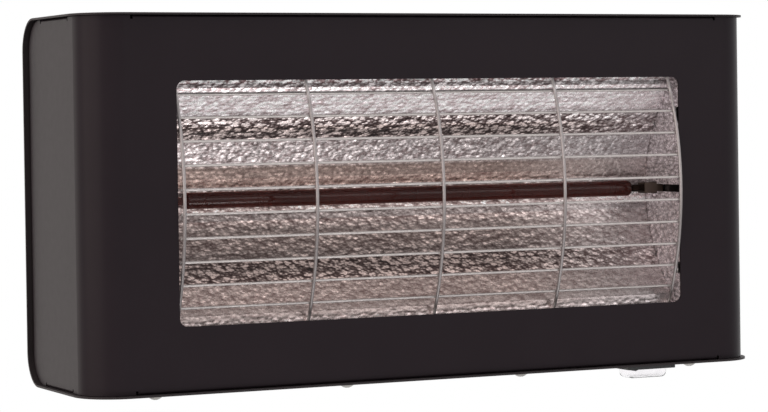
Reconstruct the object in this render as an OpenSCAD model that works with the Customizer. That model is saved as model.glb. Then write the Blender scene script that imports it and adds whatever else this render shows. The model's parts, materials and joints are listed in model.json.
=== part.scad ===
// Wall-mounted infrared bar heater: a folded casing with a convex wire guard, a hammered
// reflector trough, one double-ended quartz lamp, a rocker switch underneath and a wall
// bracket on which the heater tilts. Millimetres, +Z up, +Y into the wall. The origin is
// the middle of the wall bracket's back face, level with the tilt pivot.

/* [Casing] */
// Width across the top and bottom plates
case_w = 456; // [452:1:470]
// Height over the top and bottom plates
case_h = 222; // [220:1:232]
// Depth from the front cover's face to the back of the rear shell
case_d = 109; // [108:1:120]
// Thickness of the casing sheet
sheet = 1.2; // [1:0.1:1.5]
// Outside bend radius of the rear shell's two long rear corners
shell_corner_r = 20; // [16:1:22]
// Outside bend radius of the front cover's two upright corners
cover_corner_r = 23; // [20:1:26]
// How far the front cover's sides stand inside the plates' ends
side_inset = 2.5; // [2.5:0.5:4]
// How far the plates' front edges stand in front of the cover's face
plate_lead = 3.5; // [1:0.5:4]

/* [Window and guard] */
// Width of the window in the front cover
window_w = 341; // [340:1:344]
// Height of the window
window_h = 143; // [140:0.5:146]
// Corner radius of the window
window_r = 5; // [3:0.5:6]
// Radius of the guard's convex face
guard_arc_r = 176; // [170:1:182]
// How far the guard stands in front of the cover's face, to its uprights' centre lines
guard_bulge = 3.8; // [3.4:0.1:4.2]
// Distance from one guard upright to the next
upright_pitch = 84.2; // [83:0.1:84.3]
// Distance from one guard bar to the next, along the arc
bar_pitch = 14.2; // [14:0.05:14.3]
// Diameter of the guard's uprights
upright_d = 2; // [1.8:0.1:2.2]
// Diameter of the guard's bars
bar_d = 1.6; // [1.4:0.1:1.8]
// Height of the guard's middle above the window's middle
guard_lift = 0.9; // [0:0.1:1.5]

/* [Lamp] */
// Outside diameter of the quartz tube
tube_d = 10; // [9:0.5:11]
// Depth of the lamp's axis behind the cover's face
lamp_y = 34.5; // [34:0.5:35.5]
// Height of the lamp's axis above the casing's middle
lamp_z = 0.5; // [0:0.1:1]

/* [Switch] */
// Distance of the rocker switch to the right of the casing's middle
switch_x = 154; // [151:0.5:155]
// Depth of the rocker switch behind the cover's face
switch_y = 21; // [20.5:0.5:22]
// Angle of the rocker's blade to either side of level
rocker_tilt = 11; // [9:1:12]

/* [Wall bracket] */
// Distance from the wall to the back of the casing
wall_gap = 55; // [54:1:60]
// Distance from the wall to the tilt pivot
pivot_reach = 30; // [29:1:31]
// Height of the casing's middle above the tilt pivot
pivot_drop = 40; // [38:1:44]
// Largest tilt of the heater, front downwards
tilt_max = 45; // [30:1:45]
// Distance between the wall fixing holes, sideways
wall_hole_dx = 130; // [120:2:136]
// Distance between the wall fixing holes, upwards
wall_hole_dz = 28; // [24:1:30]
// Diameter of the wall fixing holes
wall_hole_d = 6.4; // [5.2:0.2:7]

/* [Hidden] */
$fn = 64;

// Gap that touching pieces of different sheets keep, and the gap between sliding faces
fit_gap = 0.1;
slide_gap = 0.3;
// Radial clearance of a shaft that turns or slides in its hole
run_gap = 0.05;
// A cutter's reach past the face that it cuts
over = 1;
// Step that keeps two round faces from meeting along a single line
seam = 0.02;
half_w = case_w / 2;
half_h = case_h / 2;
front_y = -(wall_gap + case_d);
shell_in_z = half_h - sheet;
shell_in_y = case_d - sheet;

// Front cover
cover_x = half_w - side_inset;
cover_edge_z = shell_in_z - slide_gap;
flange_z = cover_edge_z;
flange_bend_r = 1.4;
front_flange_d = 16;
side_flange_d = 12;
relief_w = 1.5;
relief_drop = 2.2;
front_flange_x = cover_x - cover_corner_r - 5.7;
side_flange_y0 = cover_corner_r + 9.5;
side_flange_y1 = case_d - 29;
cover_back_y = case_d - 3.2;
side_edge_y = cover_back_y - 2.4;
back_bend_r = 3;
back_flange_w = 12;
back_flange_z = half_h - 25;
cover_screw_xs = [-182.5, -59.5, 59.5, 182.5];
cover_screw_y = 11;
screw_head_r = 5;
screw_head_h = 3.1;
hook_xs = [-120, 120];

// Reflector: creases of the trough's inner face lie on a parabola, then come the lip and a
// return flange. Points are [depth, height], from the lamp outwards.
trough_back_y = 44;
trough_k = 147;
crease_zs = [8, 22, 36.5, 49.5, 63];
lip_y = 14.5;
trough_half = concat(
  [for (z = crease_zs) [trough_back_y - z * z / trough_k, z]],
  [[lip_y, 67.5], [lip_y, 80.5], [lip_y + 8.5, 80.5]]);
trough_t = 0.8;
trough_x = window_w / 2 + 1;
trough_tab_z = 43;
trough_tab_y = trough_back_y - trough_tab_z * trough_tab_z / trough_k + 0.1;
trough_tab_w = 7;
end_x = trough_x + 0.1;
end_t = 0.8;
end_outline = [[3, 79], [12, 84], [27, 84], [27, 70], [36, 54], [45, 38], [52, 22]];
slot_h = 4.8;
base_gap = 0.4;
notch_d = 8.5;
bracket_x = end_x + end_t + 0.3;
bracket_t = 1.2;
bracket_outline = [[7, 86], [16, 92], [60, 92], [case_d - sheet, 70]];
foot_w = 15;
foot_screw_z = 52;

// Guard: its arc's centre, and the wire's own bend behind the window's edge
guard_cy = guard_arc_r - guard_bulge;
guard_end_a = 24;
guard_hook_r = 3.5;
guard_tail = 7.5;
upright_count = 5;
bar_count = 10;
weld_sink = 0.15;
guard_shift = 0.5;
bar_end = 1.6;

// Lamp
tube_wall = 1;
tube_half = 155.5;
tube_dome = 3.2;
pinch_h = 4.4;
pinch_w = 7;
base_x0 = 163;
pinch_end = base_x0 + 4;
base_x1 = 176.6;
base_h = 6.8;
base_w = 9;
contact_r = 1.9;
contact_end = 178.2;
support_count = 9;

// Lamp holders
strap_x = bracket_x + bracket_t;
strap_t = 1;
holder_x0 = strap_x + strap_t;
holder_x1 = 200;
plunger_r = 2.5;
plunger_x0 = contact_end + 0.2;
plunger_l = 11;
plunger_head = 4.5;
stem_r = 1.3;
plunger_travel = 3.5;
holder_screw_dz = 19;

// Switch
housing_w = 30;
housing_d = 22;
housing_h = 22;
bezel_w = 35;
bezel_d = 25;
bezel_t = 3.2;
rocker_w = 23;
rocker_d = 12;
boot_w = 27.8;
boot_d = 16.5;
boot_r = 3.5;
boot_drop = 6.8;
boot_t = 0.8;

// Cable gland on the back
gland_x = -130;
gland_z = -70;
gland_thread_r = 8;
gland_bore_r = 4;
cable_r = 3.5;

// Terminal block and wires
block_x = -110;
block_z = 62;
block_poles = 3;
pole_pitch = 13;
wire_r = 1.4;

// Wall and tilt brackets, about the pivot
ear_r = 24;
wall_t = 2.5;
wall_ear_x = 92.5;
wall_plate_h = 50;
tilt_t = 2;
tilt_ear_x = wall_ear_x - 0.8;
tilt_plate_h = 46;
pivot_y = -pivot_reach;
pivot_r = 3;
lock_arm = 17;
lock_r = 2.5;
rivet_x = 60;
rivet_dz = 13;

// Round bars along each axis, from one coordinate to another
module bar_x(r, x0, x1, y = 0, z = 0) {
  translate([x0, y, z]) rotate([0, 90, 0]) cylinder(r = r, h = x1 - x0);
}
module bar_y(r, y0, y1, x = 0, z = 0) {
  translate([x, y0, z]) rotate([-90, 0, 0]) cylinder(r = r, h = y1 - y0);
}
module bar_z(r, z0, z1, x = 0, y = 0) {
  translate([x, y, z0]) cylinder(r = r, h = z1 - z0);
}
// A block between two corners
module block(low, high) {
  translate(low) cube(high - low);
}
// A flat outline given as [depth, height], made thick from x0 to x1
module slab_x(x0, x1) {
  translate([x0, 0, 0]) rotate([90, 0, 90]) linear_extrude(height = x1 - x0) children();
}
// A flat outline given as [x, height], made thick from y0 to y1
module slab_y(y0, y1) {
  translate([0, y1, 0]) rotate([90, 0, 0]) linear_extrude(height = y1 - y0) children();
}
// A rectangle with round corners
module round_rect(w, h, r) {
  square([w - 2 * r, h], center = true);
  square([w, h - 2 * r], center = true);
  for (sx = [-1, 1], sy = [-1, 1]) translate([sx * (w / 2 - r), sy * (h / 2 - r)]) circle(r);
}
// A round rectangular block standing on z0
module round_block(w, d, r, z0, z1) {
  translate([0, 0, z0]) linear_extrude(height = z1 - z0) round_rect(w, d, r);
}
// Everything on the heater itself, whose own origin is the middle of the cover's face
module on_heater() {
  translate([0, front_y, pivot_drop]) children();
}
module both_sides() {
  children();
  mirror([1, 0, 0]) children();
}
module top_and_bottom() {
  children();
  mirror([0, 0, 1]) children();
}

// Joins a half outline and its mirror image below into one open line
function mirrored(half) = concat(
  [for (i = [len(half) - 1:-1:0]) [half[i][0], -half[i][1]]], half);
function unit(v) = v / norm(v);
// Left-hand normal of the line's segment i
function side_of(line, i) =
  let (d = unit(line[i + 1] - line[i])) [-d[1], d[0]];
// The line moved sideways by t, with mitred corners
function moved(line, t) = [for (i = [0:len(line) - 1])
  let (
    a = side_of(line, max(i - 1, 0)),
    b = side_of(line, min(i, len(line) - 2)),
    m = unit(a + b)
  ) line[i] + m * t / (m * a)];
// A closed strip of thickness t along an open line
function strip(line, t) =
  let (other = moved(line, t)) concat(line, [for (i = [len(line) - 1:-1:0]) other[i]]);

// Hexagon nut or bolt head along X, from x0 to x1
module hex_x(flats, x0, x1, y = 0, z = 0) {
  translate([x0, y, z]) rotate([0, 90, 0]) cylinder(r = flats / sqrt(3), h = x1 - x0, $fn = 6);
}
module hex_y(flats, y0, y1, x = 0, z = 0) {
  translate([x, y0, z]) rotate([-90, 0, 0]) cylinder(r = flats / sqrt(3), h = y1 - y0, $fn = 6);
}
module hex_z(flats, z0, z1, x = 0, y = 0) {
  translate([x, y, z0]) cylinder(r = flats / sqrt(3), h = z1 - z0, $fn = 6);
}
// Low domed head of radius r and height h, standing on the origin along +Z
module dome(r, h) {
  ball_r = (r * r + h * h) / (2 * h);
  intersection() {
    translate([0, 0, h - ball_r]) sphere(ball_r);
    cylinder(r = r, h = h);
  }
}

// ---- Casing ----

// Plan view of the cover's sheet: front, two round corners and the two sides
module cover_plan(side_end_y) {
  difference() {
    union() {
      translate([-cover_x + cover_corner_r, 0]) square([2 * (cover_x - cover_corner_r), sheet]);
      for (s = [-1, 1]) {
        translate([s * cover_x - (s > 0 ? sheet : 0), cover_corner_r])
          square([sheet, side_end_y - cover_corner_r]);
        translate([s * (cover_x - cover_corner_r), cover_corner_r]) intersection() {
          difference() {
            circle(cover_corner_r);
            circle(cover_corner_r - sheet);
          }
          translate([s > 0 ? 0 : -cover_corner_r, -cover_corner_r]) square(cover_corner_r);
        }
      }
    }
  }
}
// Plan view of the in-turned flanges along the sides' rear edges
module cover_back_flanges() {
  bend_y = cover_back_y - back_bend_r;
  for (s = [-1, 1]) {
    translate([s * (cover_x - back_bend_r), bend_y]) intersection() {
      difference() {
        circle(back_bend_r);
        circle(back_bend_r - sheet);
      }
      translate([s > 0 ? 0 : -back_bend_r, 0]) square(back_bend_r);
    }
    flange_x = cover_x - back_bend_r - back_flange_w;
    translate([s > 0 ? flange_x : -flange_x - back_flange_w, cover_back_y - sheet])
      square([back_flange_w, sheet]);
  }
}
// Side view of an in-turned flange of depth d, its bend and the stub of wall under it
module flange_section(d) {
  translate([flange_bend_r, flange_z - sheet]) square([d - flange_bend_r, sheet]);
  translate([flange_bend_r, flange_z - flange_bend_r]) intersection() {
    difference() {
      circle(flange_bend_r);
      circle(flange_bend_r - sheet);
    }
    translate([-flange_bend_r, 0]) square(flange_bend_r);
  }
}
// Side view of the cover: square in front, round at the two rear corners
module cover_side_outline() {
  r = shell_corner_r - sheet - slide_gap;
  translate([0, -cover_edge_z]) square([side_edge_y - r, 2 * cover_edge_z]);
  translate([0, -cover_edge_z + r]) square([side_edge_y, 2 * (cover_edge_z - r)]);
  for (s = [-1, 1]) translate([side_edge_y - r, s * (cover_edge_z - r)]) circle(r);
}
module cover_wall() {
  translate([0, 0, -back_flange_z]) linear_extrude(height = 2 * back_flange_z) {
    cover_plan(cover_back_y - back_bend_r);
    cover_back_flanges();
  }
  intersection() {
    top_and_bottom() translate([0, 0, back_flange_z])
      linear_extrude(height = cover_edge_z - back_flange_z) cover_plan(side_edge_y);
    slab_x(-cover_x, cover_x) cover_side_outline();
  }
}
module front_cover() {
  bend_z = flange_z - flange_bend_r;
  color([0.16, 0.15, 0.16]) on_heater() difference() {
    union() {
      difference() {
        cover_wall();
        // the edge above each flange, and a relief notch at each of its ends
        top_and_bottom() {
          block([-front_flange_x, -over, bend_z], [front_flange_x, sheet + over, half_h]);
          both_sides() {
            block([front_flange_x, -over, flange_z - relief_drop],
              [front_flange_x + relief_w, sheet + over, half_h]);
            block([cover_x - sheet - over, side_flange_y0, bend_z],
              [cover_x + over, side_flange_y1, half_h]);
            for (y = [side_flange_y0 - relief_w, side_flange_y1])
              block([cover_x - sheet - over, y, flange_z - relief_drop],
                [cover_x + over, y + relief_w, half_h]);
          }
        }
      }
      top_and_bottom() {
        slab_x(-front_flange_x, front_flange_x) flange_section(front_flange_d);
        both_sides() translate([cover_x, 0, 0]) mirror([1, 0, 0])
          slab_y(side_flange_y0, side_flange_y1) flange_section(side_flange_d);
      }
    }
    slab_y(-over, sheet + over) round_rect(window_w, window_h, window_r);
    for (x = cover_screw_xs) bar_z(2.15, -half_h, -half_h + 6, x, cover_screw_y);
    // room for the switch's housing in the bottom flange
    block([switch_x - housing_w / 2 - 3, switch_y - housing_d / 2 - 2, -half_h],
      [switch_x + housing_w / 2 + 3, front_flange_d + over, -half_h + 6]);
  }
}

module shell_section(inset) {
  r = shell_corner_r - inset;
  y1 = case_d - inset;
  z1 = half_h - inset;
  translate([-plate_lead - inset * over, -z1])
    square([y1 - r + plate_lead + inset * over, 2 * z1]);
  translate([0, -z1 + r]) square([y1, 2 * (z1 - r)]);
  for (s = [-1, 1]) translate([y1 - r, s * (z1 - r)]) circle(r);
}
// Plan view of the rear shell: its plates' front corners follow the cover's round corners
module shell_plan() {
  r = cover_corner_r + plate_lead;
  translate([-half_w + r, -plate_lead]) square([2 * (half_w - r), case_d + plate_lead]);
  translate([-half_w, r - plate_lead]) square([2 * half_w, case_d + plate_lead - r]);
  for (s = [-1, 1]) translate([s * (half_w - r), r - plate_lead]) circle(r);
}
module rear_shell() {
  color([0.13, 0.12, 0.13]) on_heater() difference() {
    intersection() {
      slab_x(-half_w, half_w) difference() {
        shell_section(0);
        shell_section(sheet);
      }
      translate([0, 0, -half_h]) linear_extrude(height = 2 * half_h) shell_plan();
    }
    for (x = cover_screw_xs) bar_z(2.15, -half_h - over, -half_h + 3, x, cover_screw_y);
    // switch cut-out
    block([switch_x - housing_w / 2 - 0.1, switch_y - housing_d / 2 - 0.1, -half_h - over],
      [switch_x + housing_w / 2 + 0.1, switch_y + housing_d / 2 + 0.1, -half_h + 3]);
    bar_y(gland_thread_r + 0.1, shell_in_y - over, case_d + over, gland_x, gland_z);
    both_sides() for (z = [-foot_screw_z, foot_screw_z])
      bar_y(2.05, shell_in_y - over, case_d + over, bracket_x + bracket_t + foot_w / 2, z);
    both_sides() for (z = [-rivet_dz, rivet_dz])
      bar_y(2.45, shell_in_y - over, case_d + over, rivet_x, z - pivot_drop);
    // vent slots high on the back, clear of the wires
    for (i = [-4:4]) slab_y(shell_in_y - over, case_d + over)
      translate([i * 16, 66]) round_rect(4, 26, 1.9);
  }
}

// Stepped strips under the top plate that the cover's top flange slides over
module cover_hooks() {
  color("gainsboro") on_heater() for (x = hook_xs) {
    z1 = shell_in_z;
    z0 = flange_z - sheet - slide_gap;
    block([x - 12, front_flange_d + 0.6, z1 - 1], [x + 12, front_flange_d + 12, z1]);
    block([x - 12, front_flange_d + 0.6, z0 - 1], [x + 12, front_flange_d + 1.6, z1]);
    block([x - 12, front_flange_d - 7, z0 - 1], [x + 12, front_flange_d + 1.6, z0]);
  }
}
module cover_screws() {
  color([0.35, 0.34, 0.32]) on_heater() for (x = cover_screw_xs)
    translate([x, cover_screw_y, -half_h]) difference() {
      union() {
        mirror([0, 0, 1]) dome(screw_head_r, screw_head_h);
        cylinder(r = 2, h = 8.5);
      }
      // cross recess
      for (a = [0, 90]) rotate(a) translate([-2.2, -0.45, -screw_head_h - over])
        cube([4.4, 0.9, over + 1.6]);
    }
}
module cover_nuts() {
  color("silver") on_heater() for (x = cover_screw_xs) difference() {
    z0 = -flange_z + sheet;
    hex_z(7, z0, z0 + 3.2, x, cover_screw_y);
    bar_z(2, z0 - over, z0 + 3.2 + over, x, cover_screw_y);
  }
}

// ---- Guard ----

// Centre line of one upright, from its lower tail to its upper tail: a small bend, the long
// convex arc, and a second small bend. Heights are measured from the guard's own middle.
function arc_points(cy, cz, r, a0, a1, n) =
  [for (i = [0:n]) let (a = a0 + (a1 - a0) * i / n) [0, cy - r * cos(a), cz + r * sin(a)]];
guard_hook_cy = guard_cy - (guard_arc_r - guard_hook_r) * cos(guard_end_a);
guard_hook_cz = (guard_arc_r - guard_hook_r) * sin(guard_end_a);
guard_tail_z = guard_hook_cz + guard_hook_r;
guard_path = concat(
  [[0, guard_hook_cy + guard_tail, -guard_tail_z]],
  arc_points(guard_hook_cy, -guard_hook_cz, guard_hook_r, -90, -guard_end_a - 11, 5),
  arc_points(guard_cy, 0, guard_arc_r, -guard_end_a, guard_end_a, 20),
  arc_points(guard_hook_cy, guard_hook_cz, guard_hook_r, guard_end_a + 11, 90, 5),
  [[0, guard_hook_cy + guard_tail, guard_tail_z]]
);
upright_xs = [for (i = [0:upright_count - 1])
  guard_shift + (i - (upright_count - 1) / 2) * upright_pitch];
module guard_uprights() {
  color([0.78, 0.76, 0.75]) on_heater() for (x = upright_xs)
    translate([x, 0, guard_lift]) tube_along(guard_path, upright_d / 2, 10);
}
module guard_bars() {
  reach = guard_arc_r - upright_d / 2 - bar_d / 2 + weld_sink;
  color([0.78, 0.76, 0.75]) on_heater() for (i = [0:bar_count - 1]) {
    a = (i - (bar_count - 1) / 2) * bar_pitch / reach * 180 / PI;
    bar_x(bar_d / 2, upright_xs[0] - bar_end, upright_xs[upright_count - 1] + bar_end,
      guard_cy - reach * cos(a), guard_lift + reach * sin(a));
  }
}

// ---- Reflector and its frame ----

module reflector_trough() {
  color([0.78, 0.76, 0.74]) on_heater() difference() {
    union() {
      slab_x(-trough_x, trough_x) polygon(strip(mirrored(trough_half), -trough_t));
      // tabs through the end plates and the frame brackets
      both_sides() top_and_bottom() translate([trough_x - over, trough_tab_y, trough_tab_z])
        rotate([-30, 0, 0]) translate([0, 0, -trough_tab_w / 2])
          cube([bracket_x + bracket_t + 3 - trough_x + over, trough_t, trough_tab_w]);
    }
    // holes for the guard's tails
    for (x = upright_xs, s = [-1, 1])
      bar_y(upright_d / 2 + 0.3, 10, 20, x, s * guard_tail_z + guard_lift);
  }
}
module tab_slots(x0, x1) {
  top_and_bottom() translate([x0 - over, trough_tab_y - 0.15, trough_tab_z]) rotate([-30, 0, 0])
    translate([0, 0, -trough_tab_w / 2 - 0.2])
      cube([x1 - x0 + 2 * over, trough_t + 0.3, trough_tab_w + 0.4]);
}
// Slot from the front edge and a square hole, through which the lamp's end passes
module lamp_opening(x0, x1) {
  block([x0 - over, -over, lamp_z - slot_h / 2], [x1 + over, lamp_y, lamp_z + slot_h / 2]);
  translate([0, lamp_y, lamp_z]) base_hole(x0, x1);
}
module base_hole(x0, x1) {
  block([x0 - over, -base_w / 2 - base_gap, -base_h / 2 - base_gap],
    [x1 + over, base_w / 2 + base_gap, base_h / 2 + base_gap]);
}
module reflector_end() {
  difference() {
    slab_x(end_x, end_x + end_t) polygon(mirrored(reversed(end_outline)));
    lamp_opening(end_x, end_x + end_t);
    tab_slots(end_x, end_x + end_t);
    // notches in the front edge
    for (z = [[43, 52.5], [-53.5, -46.5]])
      block([end_x - over, 0, z[0]], [end_x + end_t + over, notch_d, z[1]]);
  }
}
function reversed(list) = [for (i = [len(list) - 1:-1:0]) list[i]];
module reflector_end_left() {
  color([0.76, 0.74, 0.72]) on_heater() mirror([1, 0, 0]) reflector_end();
}
module reflector_end_right() {
  color([0.76, 0.74, 0.72]) on_heater() reflector_end();
}

// Steel side plate behind each reflector end, with a foot against the rear shell
module frame_bracket() {
  x1 = bracket_x + bracket_t;
  difference() {
    union() {
      slab_x(bracket_x, x1) polygon(mirrored(reversed(bracket_outline)));
      block([bracket_x, shell_in_y - bracket_t, -62], [x1 + foot_w, shell_in_y, 62]);
    }
    lamp_opening(bracket_x, x1);
    tab_slots(bracket_x, x1);
    for (z = [-foot_screw_z, foot_screw_z])
      bar_y(2.05, shell_in_y - 3, shell_in_y + over, x1 + foot_w / 2, z);
    for (s = [-1, 1]) {
      bar_x(2.05, bracket_x - over, x1 + over, lamp_y, lamp_z + s * holder_screw_dz);
      bar_x(1.65, bracket_x - over, x1 + over, 66, s * 50);
    }
    bar_x(grommet_r, bracket_x - over, x1 + over, grommet_y, grommet_z);
    // the switch's housing reaches up past the lower front corner
    block([bracket_x - over, 0, -half_h], [x1 + over, 40, -80]);
  }
}
grommet_r = 5;
grommet_y = 84;
grommet_z = -28;
module frame_bracket_left() {
  color("silver") on_heater() mirror([1, 0, 0]) frame_bracket();
}
module frame_bracket_right() {
  color("silver") on_heater() frame_bracket();
}
module frame_screws() {
  color([0.2, 0.2, 0.2]) on_heater() both_sides() for (z = [-foot_screw_z, foot_screw_z])
    translate([bracket_x + bracket_t + foot_w / 2, case_d, z]) {
      rotate([-90, 0, 0]) difference() {
        dome(3.8, 2.2);
        hex_z(2.2, 0.9, 3);
      }
      rotate([90, 0, 0]) cylinder(r = 2, h = 9);
    }
}
module frame_nuts() {
  color("silver") on_heater() both_sides() for (z = [-foot_screw_z, foot_screw_z]) {
    x = bracket_x + bracket_t + foot_w / 2;
    y1 = shell_in_y - bracket_t;
    difference() {
      hex_y(7, y1 - 3.2, y1, x, z);
      bar_y(2, y1 - 3.2 - over, y1 + over, x, z);
    }
  }
}
// Sheet between the reflector and the wiring, with a flange at each end
module heat_shield() {
  color("lightgray") on_heater() difference() {
    x1 = bracket_x - fit_gap;
    union() {
      block([-x1, 60, -66], [x1, 60.8, 66]);
      both_sides() block([x1 - 0.8, 60, -66], [x1, 72, 66]);
    }
    both_sides() for (s = [-1, 1]) bar_x(1.65, x1 - 3, x1 + over, 66, s * 50);
  }
}
module shield_rivets() {
  color("silver") on_heater() both_sides() for (s = [-1, 1]) {
    x0 = bracket_x - fit_gap - 0.8;
    x1 = bracket_x + bracket_t;
    bar_x(1.6, x0 - 1.2, x1 + 0.9, 66, s * 50);
    bar_x(3, x0 - 1.2, x0, 66, s * 50);
    translate([x1, 66, s * 50]) rotate([0, 90, 0]) dome(3, 1.1);
  }
}

// ---- Lamp ----

module on_lamp() {
  on_heater() translate([0, lamp_y, lamp_z]) children();
}
// Bar along X with a low dome of height h at each end
module domed_bar(r, half, h) {
  bar_x(r, -half + h, half - h);
  both_sides() translate([half - h, 0, 0]) rotate([0, 90, 0]) dome(r, h);
}
module lamp_tube() {
  color([0.28, 0.08, 0.06, 0.85]) on_lamp() {
    difference() {
      domed_bar(tube_d / 2, tube_half, tube_dome);
      domed_bar(tube_d / 2 - tube_wall, tube_half - tube_wall, tube_dome - tube_wall);
    }
    both_sides() block([tube_half - tube_wall, -pinch_w / 2, -pinch_h / 2],
      [pinch_end, pinch_w / 2, pinch_h / 2]);
  }
}
module lamp_filament() {
  color("orange") on_lamp() bar_x(1.1, -tube_half + 8, tube_half - 8);
}
module filament_supports() {
  color("dimgray") on_lamp() for (i = [0:support_count - 1]) {
    x = (i - (support_count - 1) / 2) * 2 * (tube_half - 14) / (support_count - 1);
    difference() {
      bar_x(tube_d / 2 - tube_wall - 0.1, x - 0.4, x + 0.4);
      bar_x(1.15, x - over, x + over);
    }
  }
}
module lamp_bases() {
  color([0.62, 0.57, 0.52]) on_lamp() both_sides() difference() {
    block([base_x0, -base_w / 2, -base_h / 2], [base_x1, base_w / 2, base_h / 2]);
    // socket for the tube's pinched end
    block([base_x0 - over, -pinch_w / 2 - 0.1, -pinch_h / 2 - 0.1],
      [pinch_end + 0.2, pinch_w / 2 + 0.1, pinch_h / 2 + 0.1]);
    bar_x(contact_r, base_x1 - 3, base_x1 + over);
  }
}
module lamp_contacts() {
  color("silver") on_lamp() both_sides() {
    bar_x(contact_r, base_x1 - 3, contact_end - 0.8);
    translate([contact_end - 0.8, 0, 0]) rotate([0, 90, 0]) dome(contact_r, 0.8);
  }
}

// ---- Lamp holders ----

module holder() {
  difference() {
    block([holder_x0, -9, -9.5], [holder_x1, 9, 9.5]);
    // seat of the lamp's base, open to the front as the slots are
    block([holder_x0 - over, -9 - over, -base_h / 2 - 0.4],
      [plunger_x0 + 0.3, base_w / 2 + 0.5, base_h / 2 + 0.4]);
    // the sprung contact's bore, and the way in for the wire
    bar_x(plunger_r + run_gap, holder_x0, plunger_x0 + plunger_l + plunger_travel + slide_gap);
    bar_x(wire_r + 0.15, holder_x0, holder_x1 + over);
    // chamfer along the outer edges
    for (s = [-1, 1]) translate([holder_x1, 0, s * 9.5]) rotate([0, 45, 0])
      cube([3, 18 + 2 * over, 3], center = true);
  }
}
module holder_left() {
  color("ivory") on_lamp() mirror([1, 0, 0]) holder();
}
module holder_right() {
  color("ivory") on_lamp() holder();
}
module holder_straps() {
  color("silver") on_lamp() both_sides() difference() {
    union() {
      slab_x(strap_x, strap_x + strap_t) round_rect(20, 2 * holder_screw_dz + 12, 4);
      // arms along the holder's two faces
      for (s = [-1, 1]) block([strap_x, -6, s > 0 ? 9.5 + fit_gap : -10.5 - fit_gap],
        [strap_x + 14, 6, s > 0 ? 10.5 + fit_gap : -9.5 - fit_gap]);
    }
    block([strap_x - over, -20, -slot_h / 2], [strap_x + strap_t + over, 0, slot_h / 2]);
    base_hole(strap_x, strap_x + strap_t);
    for (s = [-1, 1]) bar_x(2.05, strap_x - over, strap_x + strap_t + over, 0, s * holder_screw_dz);
  }
}
module holder_screws() {
  color("silver") on_lamp() both_sides() for (s = [-1, 1]) {
    bar_x(2, bracket_x, strap_x + strap_t, 0, s * holder_screw_dz);
    translate([strap_x + strap_t, 0, s * holder_screw_dz]) rotate([0, 90, 0]) dome(3.6, 2.2);
  }
}
// Sprung contact pin: a head with a cupped tip that meets the lamp's end button, and a stem
module contact_pin() {
  difference() {
    union() {
      bar_x(plunger_r, plunger_x0, plunger_x0 + plunger_head);
      bar_x(stem_r, plunger_x0 + plunger_head - over, plunger_x0 + plunger_l);
    }
    translate([plunger_x0 - 2.2, 0, 0]) sphere(3);
  }
}
// Coil spring round the stem, drawn as the closed sleeve that its turns fill
module contact_spring() {
  x0 = plunger_x0 + plunger_head;
  x1 = plunger_x0 + plunger_l + plunger_travel + slide_gap;
  difference() {
    bar_x(plunger_r - 0.1, x0, x1);
    bar_x(stem_r + 0.2, x0 - over, x1 + over);
  }
}
module contact_left() {
  color("gold") on_lamp() mirror([1, 0, 0]) contact_pin();
}
module contact_right() {
  color("gold") on_lamp() contact_pin();
}
module spring_left() {
  color("silver") on_lamp() mirror([1, 0, 0]) contact_spring();
}
module spring_right() {
  color("silver") on_lamp() contact_spring();
}

// ---- Wiring ----

block_w = block_poles * pole_pitch;
block_back = shell_in_y;
block_front = block_back - 20;
pole_xs = [for (i = [0:block_poles - 1]) block_x + (i - (block_poles - 1) / 2) * pole_pitch];
module terminal_block() {
  color("ivory") on_heater() difference() {
    union() {
      for (x = pole_xs) block([x - pole_pitch / 2 + 0.8, block_front, block_z - 10],
        [x + pole_pitch / 2 - 0.8, block_back, block_z + 10]);
      block([block_x - block_w / 2, block_front + 7, block_z - 7],
        [block_x + block_w / 2, block_back, block_z + 7]);
    }
    for (x = pole_xs) {
      bar_z(wire_r + 0.3, block_z - 11, block_z + 11, x, block_front + 12);
      for (s = [-1, 1]) bar_y(2.2, block_front - over, block_front + 9.7, x, block_z + s * 5);
    }
    for (s = [-1, 1]) bar_y(1.6, block_front, block_back + over, block_x + s * pole_pitch / 2, block_z);
  }
}
module terminal_screws() {
  color("gold") on_heater() for (x = pole_xs, s = [-1, 1]) difference() {
    bar_y(2, block_front + 1.5, block_front + 9.7, x, block_z + s * 5);
    block([x - 2.5, block_front, block_z + s * 5 - 0.4],
      [x + 2.5, block_front + 2.5, block_z + s * 5 + 0.4]);
  }
}
module terminal_fixings() {
  color("silver") on_heater() for (s = [-1, 1]) {
    x = block_x + s * pole_pitch / 2;
    bar_y(1.55, block_front + 7, block_back, x, block_z);
    bar_y(0.75, block_front + 5.6, block_front + 7, x, block_z);
  }
}

// Rounded corners of a wire's route: each inner point is replaced by points on an arc
function corner(a, b, c, r, n) =
  let (
    u = unit(a - b),
    v = unit(c - b),
    half = acos(max(-1, min(1, u * v))) / 2,
    back = r / tan(half),
    mid = b + unit(u + v) * (r / sin(half)),
    p = b + u * back - mid,
    q = b + v * back - mid,
    sweep = 180 - 2 * half
  ) [for (i = [0:n]) let (t = i / n) mid + (p * sin((1 - t) * sweep) + q * sin(t * sweep)) / sin(sweep)];
function rounded(route, r, n) = concat(
  [route[0]],
  [for (i = [1:len(route) - 2]) each corner(route[i - 1], route[i], route[i + 1], r, n)],
  [route[len(route) - 1]]);
function cross_unit(a, b) = unit(cross(a, b));
// Direction of a path at point i
function along(path, i) =
  unit(path[min(i + 1, len(path) - 1)] - path[max(i - 1, 0)]);
// Frames carried along the path without twist: [side vector] for each point
function carried(path, i = 0, side = undef, out = []) =
  i == len(path) ? out :
  let (
    t = along(path, i),
    s0 = is_undef(side) ? cross_unit(t, abs(t[0]) < 0.9 ? [1, 0, 0] : [0, 1, 0]) : side,
    s = unit(s0 - t * (s0 * t))
  ) carried(path, i + 1, s, concat(out, [s]));
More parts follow.
